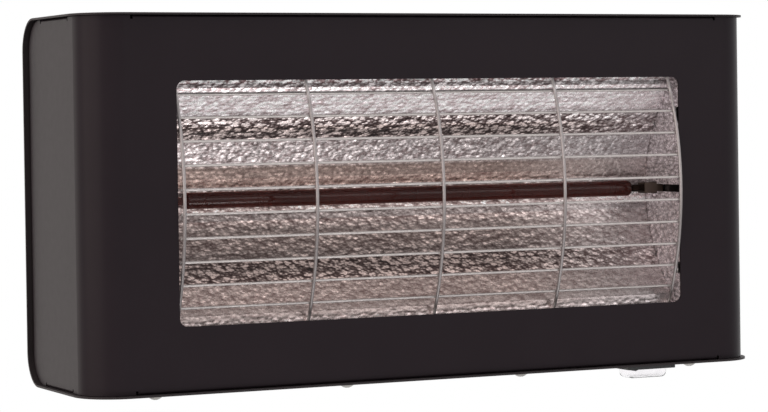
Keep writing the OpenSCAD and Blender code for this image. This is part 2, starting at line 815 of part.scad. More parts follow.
// Closed tube of radius r with n sides along a path
module tube_along(path, r, n) {
  sides = carried(path);
  rings = [for (i = [0:len(path) - 1], k = [0:n - 1])
    let (t = along(path, i), s = sides[i], w = cross(t, s), a = 360 * k / n)
      path[i] + r * (cos(a) * s + sin(a) * w)];
  last = (len(path) - 1) * n;
  faces = concat(
    [[for (k = [0:n - 1]) k]],
    [[for (k = [n - 1:-1:0]) last + k]],
    [for (i = [0:len(path) - 2], k = [0:n - 1]) let (j = (k + 1) % n)
      [i * n + k, (i + 1) * n + k, (i + 1) * n + j, i * n + j]]);
  polyhedron(rings, faces);
}
module wire(route) {
  tube_along(rounded(route, 6, 4), wire_r, 8);
}
// Points that the wires share, on the heater
holder_wire_x = plunger_x0 + plunger_l + plunger_travel + 1;
pole_y = block_front + 12;
tab_top = -half_h + housing_h + 7;
live_route = [
  [pole_xs[0], pole_y, block_z - 8], [pole_xs[0], pole_y, 30], [pole_xs[0], 92, -50],
  [150, 92, -58], [switch_x - 6, 60, -72], [switch_x - 6, switch_y + 5, tab_top + 12],
  [switch_x - 6, switch_y + 5, tab_top]
];
switched_route = [
  [switch_x + 6, switch_y + 5, tab_top], [switch_x + 6, switch_y + 5, tab_top + 13],
  [164, 70, -75], [164, grommet_y, grommet_z], [205, grommet_y, grommet_z],
  [209, 60, -12], [210, lamp_y, lamp_z], [holder_wire_x, lamp_y, lamp_z]
];
neutral_route = [
  [pole_xs[1], pole_y, block_z - 8], [pole_xs[1], pole_y, 34], [pole_xs[1] - 20, 105, 14],
  [-164, grommet_y, grommet_z], [-205, grommet_y, grommet_z],
  [-209, 60, -12], [-210, lamp_y, lamp_z], [-holder_wire_x, lamp_y, lamp_z]
];
earth_route = [
  [pole_xs[2], pole_y, block_z - 8], [pole_xs[2], pole_y, 36], [-76, 96, 12], [-70, 100.5, -7],
  [-70, 100.5, -15]
];
module wire_live() {
  color("sienna") on_heater() wire(live_route);
}
module wire_switched() {
  color([0.2, 0.2, 0.22]) on_heater() wire(switched_route);
}
module wire_neutral() {
  color("royalblue") on_heater() wire(neutral_route);
}
module wire_earth() {
  color("yellowgreen") on_heater() wire(earth_route);
}
// Threaded stud with its lug, washer and nut
module earth_stud() {
  color("gold") on_heater() translate([-70, shell_in_y, -20]) {
    bar_y(2, -14, 0);
    bar_y(4, -1, 0);
    difference() {
      bar_y(4.2, -9.2, -8);
      bar_y(2, -12, 0);
    }
    difference() {
      hex_y(7, -8, -4.8);
      bar_y(2, -9, 0);
    }
  }
}
module wire_grommets() {
  color([0.1, 0.1, 0.1]) on_heater() both_sides() difference() {
    x0 = bracket_x;
    x1 = bracket_x + bracket_t;
    union() {
      bar_x(grommet_r, x0, x1, grommet_y, grommet_z);
      bar_x(grommet_r + 2, x0 - 1.6, x0, grommet_y, grommet_z);
      bar_x(grommet_r + 2, x1, x1 + 1.6, grommet_y, grommet_z);
    }
    bar_x(wire_r + 0.4, x0 - 3, x1 + 3, grommet_y, grommet_z);
  }
}

// ---- Cable gland ----

module at_gland() {
  on_heater() translate([gland_x, case_d, gland_z]) children();
}
module gland_body() {
  color([0.1, 0.1, 0.1]) at_gland() difference() {
    union() {
      hex_y(19, 0, 5);
      bar_y(gland_thread_r, -9, 14);
    }
    bar_y(gland_bore_r, -9 - over, 14 + over);
    bar_y(6.2, 6, 14 + over);
  }
}
module gland_seal() {
  color([0.2, 0.2, 0.2]) at_gland() difference() {
    bar_y(6.1, 6, 16);
    bar_y(cable_r, 5, 17);
  }
}
module gland_cap() {
  color([0.1, 0.1, 0.1]) at_gland() difference() {
    union() {
      hex_y(19, 6, 13);
      bar_y(9.3, 13, 16);
      translate([0, 16, 0]) rotate([-90, 0, 0]) cylinder(r1 = 9.3, r2 = 6.2, h = 4);
    }
    bar_y(gland_thread_r + run_gap, 5, 14.3);
    bar_y(6.2, 14, 16.2);
    bar_y(gland_bore_r, 14, 21);
  }
}
module gland_locknut() {
  color([0.1, 0.1, 0.1]) at_gland() difference() {
    hex_y(20, -sheet - 4.5, -sheet);
    bar_y(gland_thread_r + run_gap, -20, 2);
  }
}

// ---- Switch ----

module at_switch() {
  on_heater() translate([switch_x, switch_y, 0]) children();
}
module switch_housing() {
  color([0.09, 0.09, 0.1]) at_switch() difference() {
    union() {
      round_block(bezel_w, bezel_d, 2, -half_h - bezel_t, -half_h);
      block([-housing_w / 2, -housing_d / 2, -half_h],
        [housing_w / 2, housing_d / 2, -half_h + housing_h]);
      // snap barbs at the short ends
      for (s = [-1, 1]) block([s * housing_w / 2 - 0.6, -4, -half_h + 2],
        [s * housing_w / 2 + 0.6, 4, -half_h + 8]);
    }
    // the well that the rocker turns in
    block([-rocker_w / 2 - 0.6, -rocker_d / 2 - 0.3, -half_h - bezel_t - over],
      [rocker_w / 2 + 0.6, rocker_d / 2 + 0.3, -half_h + 12]);
    bar_y(1.5 + run_gap, -rocker_d / 2 - 2, rocker_d / 2 + 2, 0, rocker_axis_z);
    // groove round the bezel that the boot's foot sits in
    difference() {
      round_block(boot_w + 0.1, boot_d + 0.1, boot_r, -half_h - bezel_t - over,
        -half_h - bezel_t + 0.8);
      round_block(boot_w - 2.3, boot_d - 2.3, boot_r - 1, -half_h - bezel_t - 2 * over, -half_h);
    }
  }
}
rocker_axis_z = -half_h + 2.7;
// Rocker blade: a shallow V of two faces, with pivot stubs, at its off position
module switch_rocker() {
  color([0.06, 0.06, 0.07]) at_switch() translate([0, 0, rocker_axis_z]) rotate([0, -rocker_tilt, 0])
    intersection() {
      union() {
        slab_y(-rocker_d / 2, rocker_d / 2) polygon([
          [-rocker_w / 2 + 0.6, 2], [-rocker_w / 2 + 0.2, -4.6], [-rocker_w / 2 + 1.4, -5.6],
          [0, -3.6], [rocker_w / 2 - 1.4, -5.6], [rocker_w / 2 - 0.2, -4.6],
          [rocker_w / 2 - 0.6, 2], [3, 4.5], [-3, 4.5]
        ]);
        bar_y(1.5, -rocker_d / 2 - 1.6, rocker_d / 2 + 1.6);
      }
      bar_y(rocker_w / 2, -20, 20);
    }
}
// Clear rubber boot: a hollow tray with round corners over the rocker
module switch_boot() {
  top = -half_h - bezel_t + 0.8;
  color([0.9, 0.92, 0.93, 0.4]) at_switch() difference() {
    boot_cushion(boot_w, boot_d, boot_r, top - boot_drop, top);
    boot_cushion(boot_w - 2 * boot_t, boot_d - 2 * boot_t, boot_r - boot_t,
      top - boot_drop + boot_t, top + over);
  }
}
// Tray with a round edge all round its bottom
module boot_cushion(w, d, r, z0, z1) {
  for (sx = [-1, 1], sy = [-1, 1])
    translate([sx * (w / 2 - r), sy * (d / 2 - r), z0 + r]) {
      sphere(r);
      cylinder(r = r, h = z1 - z0 - r);
    }
  for (s = [-1, 1]) {
    bar_x(r, -w / 2 + r, w / 2 - r, s * (d / 2 - r), z0 + r);
    bar_y(r, -d / 2 + r, d / 2 - r, s * (w / 2 - r), z0 + r);
  }
  block([-w / 2, -d / 2 + r, z0 + r], [w / 2, d / 2 - r, z1]);
  block([-w / 2 + r, -d / 2, z0 + r], [w / 2 - r, d / 2, z1]);
  block([-w / 2 + r, -d / 2 + r, z0], [w / 2 - r, d / 2 - r, z1]);
}
module switch_tabs() {
  color("silver") at_switch() for (sx = [-1, 1], y = [-5, 5])
    block([sx * 6 - 0.4, y - 3.1, -half_h + housing_h], [sx * 6 + 0.4, y + 3.1, tab_top - 0.3]);
}

// ---- Tilt and wall brackets, about the pivot ----

module tilt_bracket() {
  y0 = -wall_gap;
  color([0.15, 0.15, 0.15]) difference() {
    union() {
      block([-tilt_ear_x, y0, -tilt_plate_h / 2], [tilt_ear_x, y0 + tilt_t, tilt_plate_h / 2]);
      both_sides() slab_x(tilt_ear_x - tilt_t, tilt_ear_x) {
        translate([y0, -tilt_plate_h / 2]) square([tilt_t, tilt_plate_h]);
        polygon([[y0, -tilt_plate_h / 2], [y0, tilt_plate_h / 2], [pivot_y, 12], [pivot_y, -12]]);
        translate([pivot_y, 0]) circle(12);
      }
    }
    both_sides() bar_x(pivot_r + run_gap, tilt_ear_x - tilt_t - over, tilt_ear_x + over, pivot_y, 0);
    both_sides() bar_x(lock_r + run_gap, tilt_ear_x - tilt_t - over, tilt_ear_x + over,
      pivot_y - lock_arm, 0);
    both_sides() for (z = [-rivet_dz, rivet_dz])
      bar_y(2.45, y0 - over, y0 + tilt_t + over, rivet_x, z);
  }
}
module bracket_rivets() {
  color("silver") both_sides() for (z = [-rivet_dz, rivet_dz]) translate([rivet_x, 0, z]) {
    bar_y(2.4, -wall_gap - sheet - 2, -wall_gap + tilt_t);
    bar_y(3.6, -wall_gap - sheet - 2, -wall_gap - sheet);
    translate([0, -wall_gap + tilt_t, 0]) rotate([-90, 0, 0]) dome(4.8, 1.8);
  }
}
module lock_bolts() {
  outer = wall_ear_x + wall_t;
  color("silver") both_sides() translate([0, pivot_y - lock_arm, 0]) {
    bar_x(lock_r, tilt_ear_x - tilt_t - 5.5, outer + slide_gap);
    bar_x(5, outer + slide_gap, outer + slide_gap + 1);
    hex_x(8, outer + slide_gap + 1, outer + slide_gap + 4.5);
  }
}
module lock_nuts() {
  color("silver") both_sides() translate([0, pivot_y - lock_arm, 0]) difference() {
    x1 = tilt_ear_x - tilt_t;
    hex_x(8, x1 - 4, x1);
    bar_x(lock_r, x1 - 5, x1 + over);
  }
}
module wall_ear() {
  r_slot = lock_r + slide_gap;
  difference() {
    slab_x(wall_ear_x, wall_ear_x + wall_t) {
      translate([pivot_y, 0]) circle(ear_r);
      translate([pivot_y, -ear_r]) square([pivot_reach, 2 * ear_r]);
    }
    bar_x(pivot_r + run_gap, wall_ear_x - over, wall_ear_x + wall_t + over, pivot_y, 0);
    // curved slot that the locking bolt travels in as the heater tilts
    translate([wall_ear_x - over, pivot_y, 0]) rotate([0, 90, 0]) {
      rotate([0, 0, 270]) rotate_extrude(angle = tilt_max, $fn = 96)
        translate([lock_arm - r_slot, 0]) square([2 * r_slot, wall_t + 2 * over]);
      for (a = [0, tilt_max]) rotate([0, 0, 270 + a]) translate([lock_arm, 0, 0])
        cylinder(r = r_slot - seam, h = wall_t + 2 * over);
    }
  }
}
module wall_bracket() {
  color([0.15, 0.15, 0.15]) difference() {
    union() {
      block([-wall_ear_x - wall_t, -wall_t, -wall_plate_h / 2],
        [wall_ear_x + wall_t, 0, wall_plate_h / 2]);
      both_sides() wall_ear();
    }
    for (sx = [-1, 1], sz = [-1, 1])
      bar_y(wall_hole_d / 2, -wall_t - over, over, sx * wall_hole_dx / 2, sz * wall_hole_dz / 2);
  }
}
module pivot_bolts() {
  outer = wall_ear_x + wall_t;
  color("silver") both_sides() translate([0, pivot_y, 0]) difference() {
    union() {
      bar_x(pivot_r, tilt_ear_x - tilt_t - 8, outer);
      translate([outer, 0, 0]) rotate([0, 90, 0]) dome(5.5, 3.2);
    }
    hex_x(4, outer + 1.4, outer + 5);
  }
}
// Thin nylon washers between the two pairs of ears
module pivot_washers() {
  color("white") both_sides() translate([0, pivot_y, 0]) difference() {
    bar_x(7, tilt_ear_x + 0.3, wall_ear_x);
    bar_x(pivot_r + run_gap, tilt_ear_x - over, wall_ear_x + over);
  }
}
module pivot_nuts() {
  color("silver") both_sides() translate([0, pivot_y, 0]) difference() {
    x1 = tilt_ear_x - tilt_t - slide_gap;
    union() {
      bar_x(6.5, x1 - 1.2, x1);
      hex_x(10, x1 - 6, x1 - 1.2);
    }
    bar_x(pivot_r, x1 - 7, x1 + over);
  }
}

front_cover();
rear_shell();
cover_hooks();
cover_screws();
cover_nuts();
guard_uprights();
guard_bars();
reflector_trough();
reflector_end_left();
reflector_end_right();
frame_bracket_left();
frame_bracket_right();
frame_screws();
frame_nuts();
heat_shield();
shield_rivets();
lamp_tube();
lamp_filament();
filament_supports();
lamp_bases();
lamp_contacts();
holder_left();
holder_right();
holder_straps();
holder_screws();
contact_left();
contact_right();
spring_left();
spring_right();
terminal_block();
terminal_screws();
terminal_fixings();
wire_live();
wire_switched();
wire_neutral();
wire_earth();
earth_stud();
wire_grommets();
gland_body();
gland_cap();
gland_seal();
gland_locknut();
switch_housing();
switch_rocker();
switch_boot();
switch_tabs();
tilt_bracket();
bracket_rivets();
lock_bolts();
lock_nuts();
wall_bracket();
pivot_bolts();
pivot_washers();
pivot_nuts();
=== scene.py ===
"""Looks of a wall-mounted infrared bar heater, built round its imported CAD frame.

The CAD nodes keep their shapes and get finishes. Three things are made here: the reflector
trough's embossed sheet, the lamp's wound filament and the contact pins' coil springs.
Lengths are in metres, except where a comment says millimetres.
"""

import json
import math

import bpy
import numpy as np
from mathutils import Matrix, Vector


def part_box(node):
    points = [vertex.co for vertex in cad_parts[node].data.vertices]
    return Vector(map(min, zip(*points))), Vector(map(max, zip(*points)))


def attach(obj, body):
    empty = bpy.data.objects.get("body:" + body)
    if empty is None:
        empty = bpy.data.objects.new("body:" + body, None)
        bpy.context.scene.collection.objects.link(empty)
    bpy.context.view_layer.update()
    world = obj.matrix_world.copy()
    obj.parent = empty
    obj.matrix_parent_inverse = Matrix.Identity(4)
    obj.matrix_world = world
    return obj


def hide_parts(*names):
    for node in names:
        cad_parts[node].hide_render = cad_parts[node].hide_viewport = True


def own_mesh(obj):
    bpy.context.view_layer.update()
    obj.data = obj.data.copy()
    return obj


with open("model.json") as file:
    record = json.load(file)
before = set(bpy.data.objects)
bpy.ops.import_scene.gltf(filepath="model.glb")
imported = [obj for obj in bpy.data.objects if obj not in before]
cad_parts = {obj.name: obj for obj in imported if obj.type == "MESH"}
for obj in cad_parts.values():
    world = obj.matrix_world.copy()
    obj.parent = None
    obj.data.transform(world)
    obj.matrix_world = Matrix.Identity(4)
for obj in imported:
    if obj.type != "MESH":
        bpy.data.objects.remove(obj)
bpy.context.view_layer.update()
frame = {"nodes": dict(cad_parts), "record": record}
nodes = frame["nodes"]

MM = 0.001
SEED = 41
chance = np.random.default_rng(SEED)

# ---- Where things are, from the frame ----
cover_low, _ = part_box("front_cover")
shell_low, shell_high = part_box("rear_shell")
end_low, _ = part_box("reflector_end_right")
tube_low, tube_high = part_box("lamp_tube")
FACE_Y = cover_low.y
MID_Z = (shell_low.z + shell_high.z) / 2
LAMP_Y = (tube_low.y + tube_high.y) / 2
LAMP_Z = (tube_low.z + tube_high.z) / 2


def new_object(name, data):
    obj = bpy.data.objects.new(name, data)
    bpy.context.scene.collection.objects.link(obj)
    return obj


# ---- Camera: where the photo was taken from, solved from its edges ----
PHOTO_W = 768
CAMERA_PLACE = Vector((-0.72357, -1.59253, 0.09019))
HEADING = math.radians(25.642)
LOOK_DOWN = math.radians(0.9944)
ROLL = math.radians(-0.825)
FOCAL_PX = 2635.3
AXIS_ABOVE_MIDDLE_PX = 45.74
SENSOR_MM = 36
NEAREST_SEEN = 0.05


def add_camera():
    data = bpy.data.cameras.new("camera")
    data.sensor_width = SENSOR_MM
    data.lens = FOCAL_PX * SENSOR_MM / PHOTO_W
    data.shift_y = -AXIS_ABOVE_MIDDLE_PX / PHOTO_W
    data.clip_start = NEAREST_SEEN
    camera = new_object("camera", data)
    turn = Matrix.Rotation(-HEADING, 4, "Z") @ Matrix.Rotation(math.pi / 2 - LOOK_DOWN, 4, "X")
    camera.matrix_world = Matrix.Translation(CAMERA_PLACE) @ turn @ Matrix.Rotation(ROLL, 4, "Z")
    bpy.context.scene.camera = camera


# ---- Light: five softboxes round the object, in a white room ----
WHITE = (1, 1, 1)
WARM = (1, 0.87, 0.80)
AMBER = (1, 0.78, 0.58)

# Name, place, width, height, watts, colour
SOFTBOXES = [
    ("key", (-2.8, -0.6, 1.1), 3.2, 3.2, 80, WARM),
    ("fill", (1.6, -2.6, 0.9), 1.6, 1.2, 11, WHITE),
    ("back", (-1.3, 2.4, 0.3), 2.6, 2.6, 5.5, AMBER),
    ("top", (-0.2, -0.6, 2.4), 1.6, 1.0, 14, WHITE),
    ("low", (0.2, -2.0, -1.5), 1.4, 1.0, 24, WHITE),
]
AIM = Vector((0, FACE_Y + 50 * MM, MID_Z))

# How bright the room is where it lights the object, and where it is seen or mirrored
ROOM_LEVEL = 0.35
ROOM_COLOUR = (1, 0.975, 0.965)
BACKGROUND_LEVEL = 1.0


def add_softbox(name, place, width, height, watts, colour):
    data = bpy.data.lights.new(name, "AREA")
    data.shape = "RECTANGLE"
    data.size = width
    data.size_y = height
    data.energy = watts
    data.color = colour
    light = new_object(name, data)
    light.visible_camera = False
    turn = (AIM - Vector(place)).to_track_quat("-Z", "Y")
    light.matrix_world = Matrix.Translation(place) @ turn.to_matrix().to_4x4()


def is_ray(tree, *kinds):
    """1 where the ray is of one of these kinds, else 0."""
    rays = tree.nodes.new("ShaderNodeLightPath")
    found = rays.outputs[kinds[0]]
    for kind in kinds[1:]:
        either = tree.nodes.new("ShaderNodeMath")
        either.operation = "MAXIMUM"
        tree.links.new(found, either.inputs[0])
        tree.links.new(rays.outputs[kind], either.inputs[1])
        found = either.outputs[0]
    return found


def mixed(tree, share, first, second):
    """Two shaders mixed: share 0 gives the first, 1 the second."""
    mix = tree.nodes.new("ShaderNodeMixShader")
    tree.links.new(share, mix.inputs["Fac"])
    tree.links.new(first, mix.inputs[1])
    tree.links.new(second, mix.inputs[2])
    return mix.outputs[0]


def glow(tree, kind, colour, strength):
    """A background or emission shader of an even colour."""
    node = tree.nodes.new(kind)
    node.inputs["Color"].default_value = (*colour, 1)
    node.inputs["Strength"].default_value = strength
    return node


def build_world():
    """The room: soft light on the object, plain white wherever it is seen or mirrored."""
    world = bpy.data.worlds.new("room")
    bpy.context.scene.world = world
    world.use_nodes = True
    tree = world.node_tree
    tree.nodes.clear()
    seen = is_ray(tree, "Is Camera Ray", "Is Glossy Ray", "Is Transmission Ray")
    lighting = glow(tree, "ShaderNodeBackground", ROOM_COLOUR, ROOM_LEVEL)
    background = glow(tree, "ShaderNodeBackground", WHITE, BACKGROUND_LEVEL)
    output = tree.nodes.new("ShaderNodeOutputWorld")
    surface = mixed(tree, seen, lighting.outputs[0], background.outputs[0])
    tree.links.new(surface, output.inputs["Surface"])


def light_stage():
    build_world()
    for softbox in SOFTBOXES:
        add_softbox(*softbox)


# ---- Finishes: Principled shaders whose detail is noise in the object's own space ----
# Soft noise keeps mostly between these two values
NOISE_LOW = 0.3
NOISE_HIGH = 0.7

# The light on the pebbles: its share from the side, against that from above or below
LIGHT_SLANT = 0.55
# How much lighter, as a painted highlight, a pebble's middle is than its rim, and what evens the
# whole out again
PEBBLE_CROWN = 0.55
PEBBLE_LEVEL = 0.262
PEBBLE_BLEND = 0.06


class Finish:
    """A Principled material, and the nodes that feed it."""

    def __init__(self, name, colour=(0.5, 0.5, 0.5), roughness=0.5, metallic=0.0, **sockets):
        self.material = bpy.data.materials.new(name)
        self.material.use_nodes = True
        self.tree = self.material.node_tree
        self.shader = self.tree.nodes["Principled BSDF"]
        self.set("Base Color", (*colour, 1))
        self.set("Roughness", roughness)
        self.set("Metallic", metallic)
        for socket, value in sockets.items():
            self.set(socket.replace("_", " "), value)
        self.space = self.add("ShaderNodeTexCoord").outputs["Object"]

    def set(self, socket, value):
        self.shader.inputs[socket].default_value = value

    def add(self, kind, **settings):
        node = self.tree.nodes.new(kind)
        for key, value in settings.items():
            setattr(node, key, value)
        return node

    def link(self, start, end):
        self.tree.links.new(start, end)

    def sum_node(self, kind, operation, values):
        """One sum; each value is a number, a tuple or another node's output."""
        node = self.add(kind, operation=operation)
        for socket, value in zip(node.inputs, values):
            if isinstance(value, (int, float, tuple)):
                socket.default_value = value
            else:
                self.link(value, socket)
        return node.outputs[0]

    def math(self, operation, *values):
        return self.sum_node("ShaderNodeMath", operation, values)

    def vector(self, operation, *values):
        return self.sum_node("ShaderNodeVectorMath", operation, values)

    def along(self, axis):
        """Place along X, Y or Z."""
        split = self.add("ShaderNodeSeparateXYZ")
        self.link(self.space, split.inputs[0])
        return split.outputs[axis]

    def height(self):
        """Height over the middle of the casing."""
        return self.math("SUBTRACT", self.along("Z"), MID_Z)

    def stretched(self, stretch, place=None):
        """A place, or the object's space, scaled apart along each axis."""
        mapping = self.add("ShaderNodeMapping")
        mapping.inputs["Scale"].default_value = stretch
        self.link(place or self.space, mapping.inputs["Vector"])
        return mapping.outputs["Vector"]

    def noise(self, size, detail=3.0, stretch=(1, 1, 1)):
        """Soft noise whose features are about size metres across."""
        node = self.add("ShaderNodeTexNoise")
        node.inputs["Scale"].default_value = 1 / size
        node.inputs["Detail"].default_value = detail
        self.link(self.stretched(stretch), node.inputs["Vector"])
        return node.outputs["Fac"]

    def cells(self, size, stretch=(1, 1, 1), place=None, blend=0):
        """Distance to the nearest of scattered points about size metres apart; blend is how
        far neighbouring cells run into each other."""
        node = self.add("ShaderNodeTexVoronoi", feature="SMOOTH_F1" if blend else "F1")
        node.inputs["Scale"].default_value = 1 / size
        if blend:
            node.inputs["Smoothness"].default_value = blend
        self.link(self.stretched(stretch, place), node.inputs["Vector"])
        return node.outputs["Distance"]

    def pebbles(self, size, stretch, reach):
        """Light and shade of a field of pebbles: lit from the left, and above the middle
        from above, below it from below. Their slope is taken over the length reach."""
        shift = self.add("ShaderNodeCombineXYZ")
        shift.inputs["X"].default_value = -LIGHT_SLANT * reach
        towards = self.math("MULTIPLY", self.math("SIGN", self.height()), reach)
        self.link(towards, shift.inputs["Z"])
        moved = self.vector("ADD", self.space, shift.outputs[0])
        here = self.cells(size, stretch, blend=PEBBLE_BLEND)
        beside = self.cells(size, stretch, moved, blend=PEBBLE_BLEND)
        crown = self.math("MULTIPLY_ADD", here, -PEBBLE_CROWN, PEBBLE_LEVEL)
        return self.math("ADD", self.math("SUBTRACT", beside, here), crown)

    def ramp(self, factor, stops):
        """A colour by factor; each stop is (place from 0 to 1, colour)."""
        node = self.add("ShaderNodeValToRGB")
        edges = node.color_ramp.elements
        while len(edges) < len(stops):
            edges.new(0.5)
        for edge, (place, colour) in zip(edges, stops):
            edge.position = place
            edge.color = (*colour, 1)
        self.link(factor, node.inputs["Fac"])
        return node.outputs["Color"]

    def remap(self, factor, low, high, from_low=NOISE_LOW, from_high=NOISE_HIGH):
        """The factor's range, as a rule that of soft noise, spread over low to high."""
        node = self.add("ShaderNodeMapRange")
        node.inputs["From Min"].default_value = from_low
        node.inputs["From Max"].default_value = from_high
        node.inputs["To Min"].default_value = low
        node.inputs["To Max"].default_value = high
        self.link(factor, node.inputs["Value"])
        return node.outputs["Result"]

    def colour(self, factor, stops):
        self.link(self.ramp(factor, stops), self.shader.inputs["Base Color"])
        return self

    def rough(self, factor, low, high):
        self.link(self.remap(factor, low, high), self.shader.inputs["Roughness"])
        return self

    def bump(self, *layers):
        """Each layer is (height, depth in metres); they add up."""
        normal = None
        for height, depth in layers:
            node = self.add("ShaderNodeBump")
            node.inputs["Strength"].default_value = 1
            node.inputs["Distance"].default_value = depth
            self.link(height, node.inputs["Height"])
            if normal is not None:
                self.link(normal, node.inputs["Normal"])
            normal = node.outputs["Normal"]
        self.link(normal, self.shader.inputs["Normal"])
        return self


def tones(colour, spread):
    """A darker and a lighter shade of one colour, as ramp stops."""
    dark = tuple(c * (1 - spread) for c in colour)
    light = tuple(min(1, c * (1 + spread)) for c in colour)
    return [(NOISE_LOW, dark), (NOISE_HIGH, light)]


def powder_coat(name, colour, grain=0.7 * MM, roughness=0.48, depth=0.012 * MM, gloss=0.13):
    """Satin powder coat: a fine leathery skin, faint clouds in its tone."""
    f = Finish(name, Specular_IOR_Level=gloss)
    skin = f.noise(grain, detail=2)
    f.colour(f.noise(35 * MM, detail=4), tones(colour, 0.04))
    f.rough(f.noise(5 * MM), roughness - 0.02, roughness + 0.02)
    return f.bump((skin, depth), (f.noise(2.4 * MM, detail=1), depth / 4)).material


def plated_steel(name, colour, roughness, spread=0.1, metallic=1.0):
    """Plated or drawn metal: passing tone, fine scuffs along X."""
    f = Finish(name, metallic=metallic)
    scuffs = f.noise(0.35 * MM, detail=3, stretch=(0.12, 1, 1))
    f.colour(f.noise(4 * MM, detail=5), tones(colour, spread))
    f.rough(scuffs, roughness * 0.7, roughness * 1.3)
    return f.bump((scuffs, 0.006 * MM), (f.noise(1.6 * MM), 0.01 * MM)).material


def upright_wire(name, colour, darker_below, ends):
    """Drawn wire, with painted glints towards its hooked ends and darker in its lower half."""
    # Tones by height in millimetres over the casing's middle, within 80 mm of it
    reach = 80 * MM
    by_height = [(-72, ends), (-65.6, darker_below), (-19.2, darker_below), (9.6, colour), (60.8, colour),
                 (68.8, ends)]
    f = Finish(name, metallic=0.4)
    scuffs = f.noise(0.35 * MM, detail=3)
    # Height, made ragged by the scuffs, picks the tone: painted glints at the ends, darker below
    ragged_height = f.math("MULTIPLY_ADD", scuffs, 4 * MM, f.height())
    f.colour(f.remap(ragged_height, 0, 1, -reach, reach),
             [((height * MM + reach) / (2 * reach), tone) for height, tone in by_height])
    f.rough(scuffs, 0.34, 0.56)
    return f.bump((scuffs, 0.006 * MM)).material


def hammered_sheet(name):
    """Bright hammered sheet whose dimples are only in its shading: a bump, and painted shade that
    darkens each towards its rim.
    """
    f = Finish(name, metallic=0.6)
    dimples = f.cells(2.8 * MM, stretch=(1, 0.8, 1.3))
    f.colour(dimples, [(0.15, (0.86, 0.80, 0.83)), (0.5, (0.72, 0.66, 0.69)),
                       (0.66, (0.44, 0.395, 0.41))])
    f.rough(f.noise(1.2 * MM), 0.2, 0.34)
    return f.bump((dimples, 0.9 * MM), (f.noise(0.7 * MM, detail=2), 0.03 * MM)).material


def embossed_sheet(name):
    """Bright embossed sheet. Its bands' painted reflections come with the mesh, and in the fourth
    place how much their pebbles stand out, as an exponent of painted light and shade."""
    grit_share = 0.8
    strength = 4.2
    most_light = 1.1
    # How much further red, green and blue each fall in the shade: red falls less
    shade_tint = (-0.10, 0.11, 0.11)
    palest = (0.98, 0.96, 0.96)
    f = Finish(name, metallic=0.6)
    tone = f.add("ShaderNodeAttribute", attribute_name="tone")
    pebbles = f.pebbles(size=4.3 * MM, stretch=(0.82, 1, 1.25), reach=0.9 * MM)
    grit = f.pebbles(size=1.9 * MM, stretch=(0.8, 1, 1.3), reach=0.45 * MM)
    signal = f.math("MULTIPLY", f.math("MULTIPLY_ADD", grit, grit_share, pebbles),
                    tone.outputs["Alpha"])
    # relief here is the pebbles' painted light and shade, an exponent on the tone, capped at
    # most_light
    relief = f.math("MINIMUM", f.math("MULTIPLY", signal, strength), most_light)
    shade = f.math("MINIMUM", relief, 0)
    gain = f.add("ShaderNodeCombineXYZ")
    for socket, share in zip(gain.inputs, shade_tint):
        f.link(f.math("EXPONENT", f.math("MULTIPLY_ADD", shade, share, relief)), socket)
    shaded = f.vector("MULTIPLY", tone.outputs["Color"], gain.outputs[0])
    f.link(f.vector("MINIMUM", shaded, palest), f.shader.inputs["Base Color"])
    f.rough(f.noise(1.2 * MM), 0.22, 0.36)
    return f.bump((f.noise(0.7 * MM, detail=2), 0.03 * MM)).material


def ceramic(name, colour):
    """Unglazed steatite: chalky, finely pitted, a few darker flecks."""
    f = Finish(name, Specular_IOR_Level=0.4)
    f.colour(f.noise(1.1 * MM, detail=6), tones(colour, 0.14))
    f.rough(f.noise(3 * MM), 0.55, 0.75)
    return f.bump((f.cells(0.5 * MM), 0.05 * MM), (f.noise(2 * MM), 0.04 * MM)).material


def rubber(name, colour, roughness=0.55):
    """Silicone rubber: soft sheen, dusty tone, faint flow marks."""
    f = Finish(name, Specular_IOR_Level=0.4, Sheen_Weight=0.05)
    f.colour(f.noise(4 * MM, detail=4), tones(colour, 0.12))
    f.rough(f.noise(0.9 * MM), roughness - 0.08, roughness + 0.1)
    return f.bump((f.noise(0.4 * MM, detail=2), 0.02 * MM)).material


def striped_rubber(name, colour, stripe):
    """Two-coloured sleeve: the second colour winds round it in stripes."""
    f = Finish(name, Specular_IOR_Level=0.4)
    bands = f.add("ShaderNodeTexWave", wave_type="BANDS", bands_direction="DIAGONAL")
    bands.inputs["Scale"].default_value = 42
    bands.inputs["Distortion"].default_value = 0.6
    f.link(f.space, bands.inputs["Vector"])
    f.colour(bands.outputs["Fac"], [(0.42, colour), (0.5, stripe)])
    f.rough(f.noise(0.9 * MM), 0.45, 0.62)
    return f.bump((f.noise(0.4 * MM, detail=2), 0.02 * MM)).material


def moulded(name, colour, low, high):
    """Moulded plastic with a spark-eroded grain, from low to high in roughness."""
    f = Finish(name, Specular_IOR_Level=0.4)
    f.colour(f.noise(12 * MM, detail=4), tones(colour, 0.1))
    f.rough(f.noise(2 * MM), low, high)
    return f.bump((f.noise(0.35 * MM, detail=2), 0.02 * MM)).material


def ruby_quartz(name):
    """Ruby-coated quartz: dark red glass, drawing lines along it, its right pinch much less red and
    a little darker.
    """
    pinch_length = 14.6 * MM
    fade = 1 * MM
    pinch_x = tube_high.x - pinch_length
    f = Finish(name, IOR=1.24, Transmission_Weight=0.75, Specular_IOR_Level=0.5)
    lines = f.noise(1.4 * MM, detail=3, stretch=(0.02, 1, 1))
    ruby = f.ramp(f.noise(16 * MM, detail=3, stretch=(0.4, 1, 1)),
                  [(NOISE_LOW, (0.115, 0.026, 0.020)), (NOISE_HIGH, (0.165, 0.042, 0.034))])
    # Beyond the pinch the red falls to about a third, green and blue hardly change
    pinch_tint = f.ramp(f.remap(f.along("X"), 0, 1, pinch_x - fade, pinch_x + fade),
                  [(0, (1, 1, 1)), (1, (0.36, 0.95, 1.0))])
    f.link(f.vector("MULTIPLY", ruby, pinch_tint), f.shader.inputs["Base Color"])
    f.rough(lines, 0.03, 0.09)
    return f.bump((lines, 0.01 * MM)).material


